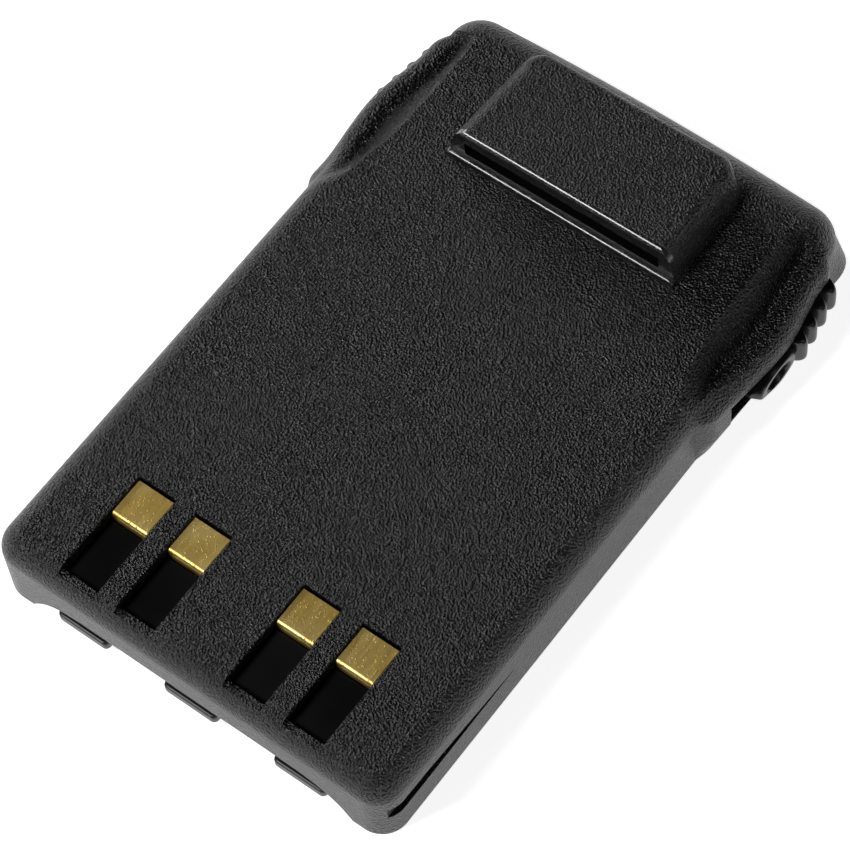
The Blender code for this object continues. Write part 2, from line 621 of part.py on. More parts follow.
def add_terminal_plate(name, middle, height, inset, near, far, finish):
    """Small rounded plate on the side of a cell, near and far measured from the can."""
    outline = rounded_rectangle(middle - TERMINAL_HALF_LENGTH + inset,
                                middle + TERMINAL_HALF_LENGTH - inset,
                                height - TERMINAL_HALF_HEIGHT + inset,
                                height + TERMINAL_HALF_HEIGHT - inset, 0.5)
    rings = prism(outline, CELL_HALF_WIDTH + near, CELL_HALF_WIDTH + far, "x")
    add_piece(name, *ring_stack(rings), finish)


def add_straps(nickel, seal):
    """Spot-welded nickel straps along the sides of the cells, and the thermal fuse."""
    height = (CELL_LOW + CELL_HIGH) / 2
    outer = CELL_HALF_WIDTH + 0.6
    middles = [start + CELL_LENGTH / 2 for start in CELL_STARTS]
    board_low = BOARD_TOP - BOARD_THICK
    add_strap("strap_negative", outer, STRAP_START, middles[0] + STRAP_OVERLAP, height, 1, nickel)
    add_strap("strap_series", outer, middles[0] + STRAP_GAP, middles[1] + STRAP_OVERLAP, height,
              1, nickel)
    add_strap("strap_positive", outer, STRAP_START, middles[1] - 4.0, height, -1, nickel)
    add_plate("thermal_fuse", -outer - STRAP - 1.2, -outer - STRAP - 0.1, -20.0, -11.0,
              board_low - 1.0, board_low + 1.4, seal, 0.3)


def add_strap(name, outer, start, end, height, side, nickel):
    """One flat strap standing on edge beside the cells."""
    x0, x1 = sorted((side * outer, side * (outer + STRAP)))
    add_plate(name, x0, x1, start, end, height - 1.2, height + 1.2, nickel)


# ---------------------------------------------------------------- latches

def face_distance(y):
    """Distance of the latch's outer face from the middle plane; it leans in along the ribs."""
    return LATCH_FACE - LATCH_LEAN * np.clip(y - RIB_FIRST, 0, None)


def add_latch(name, side, joint, plastic):
    """Sliding latch: grip with ribs, an arrow towards its release, a stem and a hook."""
    grip = grip_outline()
    centre = grip.mean(axis=0)
    top = centre + (grip - centre) * 0.97
    rings = [np.c_[np.full(len(grip), side * (BAY_FLOOR + GAP)), grip],
             np.c_[side * (face_distance(grip[:, 0]) - 0.35), grip],
             np.c_[side * face_distance(top[:, 0]), top]]
    latch = add_piece(name, *ring_stack(rings), plastic, 40)
    for index in range(RIB_COUNT):
        rib = add_rib(f"rib_{name}_{index + 1}", side, RIB_FIRST + index * RIB_PITCH, plastic)
        combine(latch, rib, "UNION")
    arrow = arrow_outline()
    rings = [np.c_[np.full(len(arrow), side * (LATCH_FACE + step)), arrow]
             for step in (-0.5, ARROW_HEIGHT)]
    combine(latch, add_piece(f"arrow_{name}", *ring_stack(rings), plastic), "UNION")
    stem = sorted((side * STEM_INNER, side * (BAY_FLOOR + 0.6)))
    join_box(latch, f"stem_{name}", *stem, STEM_START, STEM_END, BAY_LOW + 0.6, BAY_HIGH - 0.6)
    hook = sorted((side * STEM_INNER, side * HOOK_REACH))
    join_box(latch, f"hook_{name}", *hook, STEM_END - HOOK_LENGTH, STEM_END, HOOK_LOW,
             BAY_LOW + 0.8)
    for piece in (latch, *(step.object for step in latch.modifiers)):
        piece.parent = joint
        piece.matrix_parent_inverse = Matrix.Translation(-joint.location)
    return latch


def grip_outline():
    """Side view of the latch plate: square at the latch end, pointed at the release end."""
    middle = (LATCH_LOW + LATCH_HIGH) / 2 + 0.4
    return np.array(((LATCH_START, middle), (LATCH_START + 3.2, LATCH_LOW + 0.7),
                     (LATCH_START + 6.6, LATCH_LOW), (RIB_FIRST, LATCH_LOW),
                     (LATCH_END, LATCH_LOW), (LATCH_END, LATCH_HIGH), (RIB_FIRST, LATCH_HIGH),
                     (LATCH_START + 5.0, LATCH_HIGH), (LATCH_START + 1.4, LATCH_HIGH - 0.5)))


def arrow_outline():
    """Raised arrow on the plate, pointing the way the latch slides to release."""
    middle = (LATCH_LOW + LATCH_HIGH) / 2
    return np.array(((LATCH_START + 0.7, middle + 0.4), (LATCH_START + 3.6, LATCH_LOW + 0.8),
                     (LATCH_START + 6.9, LATCH_LOW + 0.25), (LATCH_START + 6.9, LATCH_HIGH - 0.3),
                     (LATCH_START + 3.2, LATCH_HIGH - 0.5)))


def add_rib(name, side, y, plastic):
    """One grip rib: a half round bar across the latch plate."""
    half = RIB_PITCH * 0.42
    face = face_distance(y)
    root = side * (face - 0.8)
    outline = [(side * (face + RIB_HEIGHT * math.sin(a)), y + half * math.cos(a))
               for a in np.radians(np.linspace(0, 180, 9))]
    outline = np.array([(root, y + half), *outline, (root, y - half)])
    rings = prism(outline, LATCH_LOW + 0.15, LATCH_HIGH - 0.1)
    return add_piece(name, *ring_stack(rings), plastic, 40)


def add_spring(name, side, steel):
    """Return spring in front of the latch stem: a coil of round wire."""
    wire_sides = 5
    steps = 11
    centre = np.array((side * SPRING_CENTRE, 0.0, (BAY_LOW + BAY_HIGH) / 2))
    start = SPRING_START + GAP + SPRING_WIRE
    end = STEM_START - GAP - SPRING_WIRE
    around = np.radians(np.linspace(0, 360, wire_sides, endpoint=False))
    rings = []
    for turned in np.linspace(0, SPRING_TURNS, SPRING_TURNS * steps + 1):
        angle = 2 * math.pi * turned
        radial = np.array((math.cos(angle), 0.0, math.sin(angle)))
        along = np.array((0.0, start + (end - start) * turned / SPRING_TURNS, 0.0))
        middle = centre + radial * SPRING_RADIUS + along
        rings.append([middle + SPRING_WIRE * (radial * math.cos(a)
                                              + np.array((0.0, math.sin(a), 0.0)))
                      for a in around])
    add_piece(name, *ring_stack(rings), steel, 50)


def add_joint_frame(name, side):
    """Empty on the line the latch slides along, in the middle of its grip."""
    frame = bpy.data.objects.new(name, None)
    frame.location = (side * LATCH_FACE * MM, (LATCH_START + LATCH_END) / 2 * MM,
                      (LATCH_LOW + LATCH_HIGH) / 2 * MM)
    bpy.context.scene.collection.objects.link(frame)
    return frame


def build():
    for old in list(bpy.data.objects):
        bpy.data.objects.remove(old, do_unlink=True)
    black = material("textured_black", (0.012, 0.012, 0.013), 0.55)
    gloss = material("gloss_black", (0.008, 0.008, 0.010), 0.15)
    latch_black = material("latch_black", (0.013, 0.013, 0.014), 0.4)
    gold = material("gold_plate", (0.80, 0.58, 0.20), 0.3, 1.0)
    nickel = material("nickel", (0.62, 0.60, 0.56), 0.35, 1.0)
    steel = material("spring_steel", (0.55, 0.55, 0.56), 0.3, 1.0)
    can = material("cell_can", (0.68, 0.69, 0.70), 0.35, 1.0)
    green = material("board_green", (0.03, 0.20, 0.08), 0.45)
    chip = material("chip_black", (0.02, 0.02, 0.02), 0.5)
    ceramic = material("chip_ceramic", (0.20, 0.18, 0.16), 0.5)
    paper = material("insulating_paper", (0.62, 0.60, 0.50), 0.8)
    label = material("label_film", (0.80, 0.80, 0.78), 0.5)
    foam = material("foam", (0.10, 0.10, 0.10), 0.95)
    tape = material("adhesive_tape", (0.75, 0.75, 0.72), 0.7)
    seal = material("terminal_seal", (0.10, 0.12, 0.30), 0.5)
    add_rear_shell(black)
    add_inner_cover(black)
    add_label(label)
    add_contact_block(gloss)
    add_charge_contacts(gold)
    add_radio_contacts(gold)
    add_circuit(green, chip, ceramic)
    add_cells(can, nickel, seal, tape, foam, paper)
    for side, name in ((-1, "left"), (1, "right")):
        joint = add_joint_frame(f"slide_{name}", side)
        add_latch(f"latch_{name}", side, joint, latch_black)
        add_spring(f"latch_spring_{name}", side, steel)


build()
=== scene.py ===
import json
import math

import bmesh
import bpy
import numpy as np
from mathutils import Matrix, Vector


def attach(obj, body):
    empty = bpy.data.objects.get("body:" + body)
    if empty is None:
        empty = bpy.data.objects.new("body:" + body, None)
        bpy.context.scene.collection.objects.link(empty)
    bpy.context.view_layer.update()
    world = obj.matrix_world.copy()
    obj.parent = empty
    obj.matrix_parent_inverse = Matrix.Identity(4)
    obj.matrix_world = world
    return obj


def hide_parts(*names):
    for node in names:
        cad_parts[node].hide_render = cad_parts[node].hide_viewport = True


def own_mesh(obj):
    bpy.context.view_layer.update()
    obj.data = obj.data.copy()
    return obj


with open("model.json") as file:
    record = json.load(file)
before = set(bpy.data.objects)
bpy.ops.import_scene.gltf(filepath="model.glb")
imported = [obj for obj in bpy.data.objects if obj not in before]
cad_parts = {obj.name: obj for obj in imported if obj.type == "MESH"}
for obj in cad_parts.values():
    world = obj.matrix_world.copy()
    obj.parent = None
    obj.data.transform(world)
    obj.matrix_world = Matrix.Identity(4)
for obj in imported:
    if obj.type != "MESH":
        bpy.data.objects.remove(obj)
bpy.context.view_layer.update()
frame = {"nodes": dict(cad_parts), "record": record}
MM = 0.001

# ---------------------------------------------------------------- rear shell
# The moulded outer half of a clip-on battery pack, in black ABS with a fine spark-eroded grain.
# It carries the belt clip socket, the windows of the charging contacts, the bays of the two
# latches with a brim over each, and the feet at the hook end. The cover is welded inside its rim.

HALF_WIDTH = 26.5
HALF_LENGTH = 43.5
HEIGHT = 10.35
WALL = 1.5
CEILING = HEIGHT - 1.6
HOOK_CORNER = 3.2
LATCH_CORNER = 4.4
CROWN = 0.5
END_DRAFT = 0.5
SIDE_DRAFT = 0.2
CORNER_DRAFT = 3.4
TAPER = 0.4
TAPER_LENGTH = 18.0
DRAFT_START = 31.0
DRAFT_LENGTH = 8.0
EDGE = 3.0
SHOULDER_START = 10.5
SHOULDER_LENGTH = 14.5
SHOULDER_EXTRA = 1.5
CORNER_START = 34.0
CORNER_LENGTH = 4.0
CORNER_EXTRA = 1.2
BRIM = 2.4
BRIM_START = 11.9
BRIM_END = 38.0
BRIM_RISE = 2.6
BRIM_SLOPE = 1.7
BRIM_GROWTH = 14.0
BRIM_GROWTH_LENGTH = 12.0
BRIM_FALL = 26.0
BRIM_FALL_LENGTH = 9.5
BRIM_ROUND = 35.8
TROUGH_FADE = 9.0
TROUGH_ROUND = 35.5
# across the brim and its trough: share of the rounded edge, share of the brim's reach,
# distance out, height above the start of the edge
TROUGH = np.array((
    (0.00, 1.00, 0.00, 0.00), (0.08, 1.00, -0.03, 0.60), (0.16, 1.00, -0.20, 1.20),
    (0.24, 1.00, -0.55, 1.70), (0.32, 1.00, -1.05, 2.10), (0.40, 1.00, -1.65, 2.28),
    (0.47, 1.00, -2.25, 2.25), (0.53, 1.00, -2.80, 2.00), (0.58, 1.00, -3.25, 1.68),
    (0.62, 1.00, -3.55, 1.60), (0.68, 0.85, -3.75, 2.05), (0.76, 0.50, -3.85, 2.95),
    (0.85, 0.20, -4.05, 3.80), (0.93, 0.05, -4.27, 4.28), (1.00, 0.00, -4.50, 4.50)))
BAY = (16.9, 37.6, 0.8, 5.6)
BAY_FLOOR = 25.4
MOUTH_ROUND = 0.25
RIM_ROUND = 0.2
WINDOWS = (-17.55, -9.85, 4.75, 12.55)
CONTACT_WIDTH = 4.8


def ease(t):
    """Smooth step: 3t^2 - 2t^3 on t held between 0 and 1."""
    t = np.clip(t, 0.0, 1.0)
    return t * t * (3 - 2 * t)


def arc(radius, start, stop, count):
    """Points of a circle arc, angles in degrees."""
    a = np.radians(np.linspace(start, stop, count))
    return radius * np.stack((np.cos(a), np.sin(a)), axis=-1)


def shell_outline():
    """Outline of the shell from above, anticlockwise, and its outward normals.

    Straight hook end, round corner, a side whose half width is 26.5 less 0.4 times a smooth step
    in y, a tighter corner, and a latch end that bows out as x squared. The left half mirrors it.
    """
    end_y = HALF_LENGTH - END_DRAFT
    top_x = HALF_WIDTH - TAPER - LATCH_CORNER
    top_y = end_y - CROWN - LATCH_CORNER
    hook = np.stack((np.linspace(0, HALF_WIDTH - HOOK_CORNER, 13)[:-1],
                     np.full(12, -HALF_LENGTH)), axis=-1)
    corner = arc(HOOK_CORNER, -90, 0, 17) + (HALF_WIDTH - HOOK_CORNER, HOOK_CORNER - HALF_LENGTH)
    fine = np.array((-0.32, -0.25, -0.2, -0.15, -0.1, -0.05, -0.02, 0.0, 0.03, 0.15))
    y = np.unique(np.concatenate((np.linspace(-38.5, 9.5, 25), np.arange(10, top_y - 0.1, 0.32),
                                  BAY[0] + fine, BAY[1] - fine)))
    side = np.stack((HALF_WIDTH - TAPER * ease((y - SHOULDER_START) / TAPER_LENGTH), y), axis=-1)
    far = arc(LATCH_CORNER, 0, 87, 15) + (top_x, top_y)
    x = np.linspace(top_x - 0.5, 0.0, 14)
    end = np.stack((x, end_y - CROWN * (x / top_x) ** 2), axis=-1)
    right = np.concatenate((hook, corner, side, far, end))
    outline = np.concatenate((right, right[-2:0:-1] * (-1, 1)))
    step = np.roll(outline, -1, axis=0) - outline
    step /= np.linalg.norm(step, axis=1)[:, None]
    along = step + np.roll(step, 1, axis=0)
    normals = np.stack((along[:, 1], -along[:, 0]), axis=-1)
    return outline, normals / np.linalg.norm(normals, axis=1)[:, None]


def brim(y, angle, height, edge):
    """How far the brim over a latch stands out of the plain shell.

    Along y it rises as a quarter sine within 2.6 mm, grows to 2.4 mm, sinks to 0.5 of that
    beside the grip ribs and ends as 1 - t^2.
    Across, it is nothing above the trough's angle on the rounded edge and full 1.7 mm below it.
    Down the wall it shrinks to 0.4 of that at the rim.
    """
    travel = np.clip((y - BRIM_START) / (BRIM_END - BRIM_START), 0, 1)
    rise = np.sin(np.pi / 2 * np.clip((y - BRIM_START) / BRIM_RISE, 0, 1))
    closing = np.clip((y - BRIM_ROUND) / (BRIM_END - BRIM_ROUND), 0, 1)
    fall = (1 - 0.5 * ease((y - BRIM_FALL) / BRIM_FALL_LENGTH)) * (1 - closing ** 2)
    trough = np.radians(26 + 12 * travel)
    across = ease((trough - angle) * edge / BRIM_SLOPE)
    growth = 0.5 + 0.5 * ease((y - BRIM_GROWTH) / BRIM_GROWTH_LENGTH)
    return BRIM * growth * rise * fall * across * (0.4 + 0.6 * ease(height / BRIM_RISE))


def trough_share(y):
    """How much of the trough there is: fades in over 9 mm and ends as a quarter circle."""
    closing = np.clip((y - TROUGH_ROUND) / (BRIM_END - TROUGH_ROUND), 0, 1)
    return ease((y - BRIM_START) / TROUGH_FADE) * np.sqrt(1 - closing ** 2)


def with_trough(y, share, out, height, reach):
    """Moves a ring of the rounded edge onto the profile of the brim and its trough.

    The profile is a table read at the ring's share of the edge, averaged over 0.07 of it.
    """
    near = np.clip(share + np.linspace(-0.035, 0.035, 9), 0, 1)
    follow, offset, rise = (np.interp(near, TROUGH[:, 0], column).mean()
                            for column in TROUGH.T[1:])
    depth = trough_share(y)
    return (out + depth * (offset + follow * reach - out),
            height + depth * (HEIGHT - EDGE - SHOULDER_EXTRA + rise - height))


def shell_rings():
    """Rings of the outside from the rim to the rear face, and of the inside back to the rim.

    A ring is the outline moved along its normals by an amount that changes with height: draft and
    brim on the wall, then a rounded edge whose radius grows from 3 to 4.5 mm beside the latches.
    In a latch bay the rings of the wall are drawn in to the bay's floor.
    """
    outline, normals = shell_outline()
    y = outline[:, 1]
    extra = (SHOULDER_EXTRA * ease((y - SHOULDER_START) / SHOULDER_LENGTH)
             + (CORNER_EXTRA - SHOULDER_EXTRA) * ease((y - CORNER_START) / CORNER_LENGTH))
    edge = EDGE + extra
    side, end = np.abs(normals).T
    lean = END_DRAFT + (SIDE_DRAFT - END_DRAFT) * side + CORNER_DRAFT * side * end ** 2
    draft = lean * ease((y - DRAFT_START) / DRAFT_LENGTH)
    mouth = np.minimum(y - (BAY[0] - MOUTH_ROUND), (BAY[1] + MOUTH_ROUND) - y)
    bend = MOUTH_ROUND - np.sqrt(MOUTH_ROUND ** 2 - np.clip(mouth, 0, MOUTH_ROUND) ** 2)
    inside = mouth > MOUTH_ROUND + 0.01
    in_bay = np.where(inside, 1.0, np.clip(bend / MOUTH_ROUND, 0, 1))

    def ring(out, height):
        return np.c_[outline + normals * np.broadcast_to(out, y.shape)[:, None],
                     np.broadcast_to(height, y.shape)]

    rings = []
    low, high = BAY[2], BAY[3]
    wall = [(0.0, RIM_ROUND), (0.06, 0.06), (RIM_ROUND, 0.0), (0.4, 0.0)]
    for height, inset in wall:
        out = brim(y, 0 * y, height, edge) + draft * (1 - height / (HEIGHT - edge))
        rings.append(ring(out - inset, height))
    # (height off the bay, height in the bay, rounding inset, drawn in to the floor)
    levels = [(0.6, low - MOUTH_ROUND, 0.0, 0), (0.75, low - 0.08, 0.03, 0),
              (0.95, low - 0.02, 0.12, 0), (1.2, low, MOUTH_ROUND, 0), (1.6, low + 0.02, 0, 1),
              (2.4, low + 0.2, 0, 1), (3.2, 3.2, 0, 1), (4.1, high - 0.2, 0, 1),
              (4.8, high - 0.02, 0, 1), (5.15, high, MOUTH_ROUND, 0),
              (5.4, high + 0.02, 0.12, 0), (5.6, high + 0.08, 0.03, 0)]
    for plain, bay, inset, sunk in levels:
        height = plain + (bay - plain) * in_bay
        out = brim(y, 0 * y, height, edge) + draft * (1 - height / (HEIGHT - edge)).clip(0)
        floor = BAY_FLOOR - outline[:, 0] * normals[:, 0]
        reach = np.where(inside & (sunk > 0), floor, out - inset * in_bay)
        reach = reach - np.where(inside, 0, bend)
        rings.append(ring(reach, height))
    start = HEIGHT - edge
    for part in (0.0, 0.5):
        height = high + 0.2 + part * (start - high - 0.2)
        out = brim(y, 0 * y, height, edge) + draft * (1 - height / start).clip(0)
        rings.append(ring(out, height))
    reach = brim(y, 0 * y, start, edge)
    for share in np.linspace(0, 1, 33):
        angle = share * np.pi / 2
        swell = brim(y, angle + 0 * y, start, edge)
        out = swell * math.cos(angle) - edge * (1 - math.cos(angle))
        rings.append(ring(*with_trough(y, share, out, start + (edge + swell) * math.sin(angle),
                                       reach)))
    rings.append(ring(-edge - 0.12, HEIGHT + 0 * y))
    deep = trough_share(y)
    corner = CEILING - 0.4 - 0.8 * extra - deep
    inner = [ring(-1.9 - 0.6 * extra - 2.0 * deep, CEILING + 0 * y),
             ring(-WALL - 2.4 * deep, corner), ring(-WALL, corner - 0.3 - 0.9 * deep),
             ring(-WALL, RIM_ROUND), ring(-WALL + 0.1, 0 * y)]
    return np.array(rings), np.array(inner)


def grid_quads(rows, columns, close_rows=False):
    """Quads between neighbouring points of closed rows, numbered row by row."""
    r = np.arange(rows if close_rows else rows - 1)[:, None]
    c = np.arange(columns)[None, :]
    across = (c + 1) % columns
    up = (r + 1) % rows
    quads = (r * columns + c, r * columns + across, up * columns + across, up * columns + c)
    return np.stack(quads, axis=-1).reshape(-1, 4)


def piece_from(name, points, faces):
    """An object from points in millimetres, with its faces turned outwards."""
    mesh = bpy.data.meshes.new(name)
    mesh.from_pydata((np.asarray(points).reshape(-1, 3) * MM).tolist(), [], faces)
    shape = bmesh.new()
    shape.from_mesh(mesh)
    bmesh.ops.recalc_face_normals(shape, faces=shape.faces)
    shape.to_mesh(mesh)
    shape.free()
    piece = bpy.data.objects.new(name, mesh)
    bpy.context.scene.collection.objects.link(piece)
    return piece


def stack(name, rings):
    """A closed shape from equal rings, one above the other, with a flat end on each."""
    rings = np.asarray(rings)
    count, size = rings.shape[:2]
    ends = [list(range(size)), list(range((count - 1) * size, count * size))]
    return piece_from(name, rings, grid_quads(count, size).tolist() + ends)


def round_box(x0, x1, y0, y1, radius, steps=6):
    """Rectangle with round corners, anticlockwise."""
    corners = [arc(radius, start, start + 90, steps + 1) + middle for start, middle in (
        (-90, (x1 - radius, y0 + radius)), (0, (x1 - radius, y1 - radius)),
        (90, (x0 + radius, y1 - radius)), (180, (x0 + radius, y0 + radius)))]
    return np.concatenate(corners)


def layers(outlines, heights, order=(0, 1, 2)):
    """Rings from flat outlines at given heights; order says which axis each number goes to."""
    return [np.c_[o, np.full(len(o), h)][:, order] for o, h in zip(outlines, heights)]


def block(name, x, y, z, radius=0.3, soft=0.15):
    """A moulded block: round upright corners, and upper and lower edges rounded by soft."""
    turns = np.radians(np.linspace(0, 90, 5))
    inset = soft * (1 - np.sin(turns))
    rise = soft * (1 - np.cos(turns))
    outlines = [round_box(x[0] + i, x[1] - i, y[0] + i, y[1] - i, radius) for i in inset]
    heights = np.concatenate((z[0] + rise, z[1] - rise[::-1]))
    return stack(name, layers(outlines + outlines[::-1], heights))


def carve(piece, tools, operation="DIFFERENCE"):
    """Cuts the tools away from the piece, or joins them to it, and throws the tools away."""
    for tool in tools:
        step = piece.modifiers.new("cut", "BOOLEAN")
        step.operation = operation
        step.solver = "EXACT"
        step.object = tool
    bpy.context.view_layer.update()
    solid = piece.evaluated_get(bpy.context.evaluated_depsgraph_get())
    mesh = bpy.data.meshes.new_from_object(solid)
    piece.modifiers.clear()
    old = piece.data
    piece.data = mesh
    mesh.name = piece.name
    bpy.data.meshes.remove(old)
    for tool in tools:
        used = tool.data
        bpy.data.objects.remove(tool)
        bpy.data.meshes.remove(used)


def shade(piece, sharp=32):
    """Smooth shading that stops at edges sharper than the angle, weighted by face area."""
    piece.data.shade_smooth()
    piece.data.set_sharp_from_angle(angle=math.radians(sharp))
    weigh = piece.modifiers.new("even shading", "WEIGHTED_NORMAL")
    weigh.keep_sharp = True
    weigh.weight = 100


def hand_over(piece, body, slot, finish, *nodes):
    """Gives a finished piece its material, its body and the nodes it stands for."""
    piece.data.materials.clear()
    piece.data.materials.append(finish)
    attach(piece, body)
    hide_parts(*nodes)


def clip_socket():
    """Raised box for the belt clip, as rings: base fillet, leaning walls, and a rounded edge.

    The roof falls by 0.7 mm from front to back and the sides close in by 0.5 mm. The edge is
    2.2 mm round at the sides and 0.9 mm at the back; the front is flat with an edge of 0.8 mm.
    """
    front, back, half, corner = 23.95, 38.65, 15.3, 2.8
    outline = round_box(-half, half, front - corner, back, corner, 14)
    outline = outline[outline[:, 1] > front - 0.01]
    x, y = outline.T
    centre = np.clip(outline, (corner - half, front), (half - corner, back - corner))
    outward = (outline - centre) / corner
    edge = 2.2 - 1.3 * np.clip(outward[:, 1], 0, 1)
    run = (y - front) / (back - front)
    draft = np.c_[-np.sign(x) * 0.5 * run, 0 * y]
    rings = []
    for out, up in ((0.55, -0.5), (0.55, 0.01), (0.3, 0.06), (0.12, 0.2), (0.0, 0.5)):
        rings.append(np.c_[outline + draft + outward * out, HEIGHT + up + 0 * x])
    lean = np.c_[-np.sign(x) * 0.6, 0 * y]
    for angle in np.radians(np.linspace(0, 90, 19)):
        drop = edge * (1 - math.sin(angle))
        turn = 0.8 - np.sqrt(0.8 ** 2 - np.clip(0.8 - drop, 0, None) ** 2)
        ring = outline + draft + lean - outward * (edge * (1 - math.cos(angle)))[:, None]
        ring = ring + np.c_[0 * y, turn * (run < 0.01)]
        roof = HEIGHT + 4.9 - 0.7 * (ring[:, 1] - front) / (back - front)
        rings.append(np.c_[ring, roof - drop])
    return stack("clip_socket", rings)


def contact_cut(name, left):
    """Window through the rear wall with a softened mouth, and the shallow channel before it."""
    x0, x1 = left - 0.08, left + CONTACT_WIDTH + 0.08
    margin = (0.0, 0.0, 0.02, 0.07, 0.16, 0.16)
    height = (CEILING - 1, HEIGHT - 0.2, HEIGHT - 0.12, HEIGHT - 0.05, HEIGHT, HEIGHT + 1)
    window = [round_box(x0 - m, x1 + m, -41.3 - m, -28.15 + m, 0.2 + m, 4) for m in margin]
    channel = [round_box(x0 - m, x1 + m, -45.0, -40.9, 0.2, 4) for m in (0.0, 0.0, 0.1, 0.25)]
    return [stack(name, layers(window, height)),
            stack(name + "_channel", layers(channel, (HEIGHT - 0.55, HEIGHT - 0.3, HEIGHT - 0.1,
                                                      HEIGHT + 1)))]


def foot_cut():
    """Takes away the end wall between the feet: height 4.1 times 1 - (1 - u)^4 from each foot."""
    u = np.linspace(0, 1, 25)
    right = np.stack((21.9 - 10.9 * u, 4.1 * (1 - (1 - u) ** 4)), axis=-1)
    right = np.concatenate((((22.3, -1.0),), right))
    outline = np.concatenate((right, right[::-1] * (-1, 1)))
    return stack("foot_cut", layers((outline, outline), (-45.0, -41.3), (0, 2, 1)))


def side_cuts(side):
    """The window for the latch's stem in the bay's floor, and the groove along the foot."""
    window = block("stem_window", sorted((side * 22.0, side * 26.4)), (20.6, 32.4), (1.0, 5.4),
                   0.4, 0.1)
    wedge = np.array(((-46.0, 4.2), (-36.0, 4.2), (-20.6, 4.4), (-36.0, 5.85), (-46.0, 6.3)))
    inset = sorted((side * (HALF_WIDTH - 0.7), side * (HALF_WIDTH + 2)))
    return [window, stack("side_groove", layers((wedge, wedge), inset, (2, 0, 1)))]


outer, inner = shell_rings()
count, size = outer.shape[:2]
total = count + len(inner)
quads = grid_quads(total, size, close_rows=True)
across_wall = quads[:, 0] // size == count - 1
caps = [list(range((count - 1) * size, count * size)),
        list(range(count * size, (count + 1) * size))]
shell = piece_from("housing_rear_shell", np.concatenate((outer, inner)),
                   quads[~across_wall].tolist() + caps)
lip = block("socket_lip", (-15.4, 15.4), (23.2, 25.0), (HEIGHT - 0.6, HEIGHT + 0.85), 0.35, 0.5)
carve(shell, [clip_socket(), lip], "UNION")
tools = [foot_cut(), block("clip_slot", (-13.1, 13.1), (21.5, 37.1),
                           (HEIGHT + 1.25, HEIGHT + 3.12), 0.3, 0.1)]
for index, left in enumerate(WINDOWS):
    tools += contact_cut(f"window_{index}", left)
tools += side_cuts(1) + side_cuts(-1)
carve(shell, tools)
shade(shell)


class Wire:
    """A value in a material; sums on it add Math nodes."""

    def __init__(self, finish, socket):
        self.finish = finish
        self.socket = socket

    def math(self, operation, first, second):
        return self.finish.add("ShaderNodeMath", {"operation": operation}, {0: first, 1: second})

    def __add__(self, other):
        return self.math("ADD", self, other)

    def __sub__(self, other):
        return self.math("SUBTRACT", self, other)

    def __mul__(self, other):
        return self.math("MULTIPLY", self, other)

    def __rsub__(self, other):
        return self.math("SUBTRACT", other, self)

    __radd__ = __add__
    __rmul__ = __mul__

    def between(self, low, high):
        """0 below low, 1 above high, smooth in between; works downwards too."""
        return self.finish.add("ShaderNodeMapRange", {"interpolation_type": "SMOOTHSTEP"},
                               {0: self, 1: low, 2: high, 3: 0.0, 4: 1.0})


class Finish:
    """A Principled material; constants are set on its own sockets, the rest is added as nodes."""

    def __init__(self, name, **constants):
        self.material = bpy.data.materials.new(name)
        self.material.use_nodes = True
        self.tree = self.material.node_tree
        self.shader = self.tree.nodes["Principled BSDF"]
        for key, value in constants.items():
            self.shader.inputs[key.replace("_", " ")].default_value = value
        self.place = self.add("ShaderNodeTexCoord", output="Object")

    def add(self, kind, settings=None, sockets=None, output=0):
        """Adds one node: its settings first, then values or wires for its sockets."""
        node = self.tree.nodes.new(kind)
        for key, value in (settings or {}).items():
            setattr(node, key, value)
        for key, value in (sockets or {}).items():
            self.feed(node.inputs[key], value)
        return Wire(self, node.outputs[output])

    def feed(self, socket, value):
        """Links a wire to a socket, or sets a plain value on it."""
        if isinstance(value, Wire):
            self.tree.links.new(value.socket, socket)
        else:
            socket.default_value = value

    def noise(self, scale, detail=2.0, roughness=0.5, place=None):
        """Fractal noise; scale is in waves per metre."""
        return self.add("ShaderNodeTexNoise", None, {
            "Vector": place or self.place, "Scale": scale, "Detail": detail,
            "Roughness": roughness})

    def cells(self, scale):
        """Distance from the middle of round cells; scale is in cells per metre."""
        return self.add("ShaderNodeTexVoronoi", {"feature": "F1"},
                        {"Vector": self.place, "Scale": scale}, "Distance")

    def stretched(self, x, y, z):
        """Object coordinates with each axis scaled."""
        return self.add("ShaderNodeMapping", None, {"Vector": self.place, "Scale": (x, y, z)})

    def axis(self, letter):
        """One object coordinate, in metres."""
        return self.add("ShaderNodeSeparateXYZ", None, {0: self.place}, letter)

    def blend(self, factor, first, second):
        """A colour between two colours."""
        return self.add("ShaderNodeMix", {"data_type": "RGBA"},
                        {0: factor, 6: first, 7: second}, 2)

    def surface(self, colour, roughness=None, height=None, depth=0.02, strength=1.0):
        """Joins colour, roughness and bump height to the shader; depth is in millimetres."""
        self.feed(self.shader.inputs["Base Color"], colour)
        if roughness is not None:
            self.feed(self.shader.inputs["Roughness"], roughness)
        if height is not None:
            bump = self.add("ShaderNodeBump", None, {
                "Height": height, "Distance": depth * MM, "Strength": strength})
            self.feed(self.shader.inputs["Normal"], bump)
        return self.material


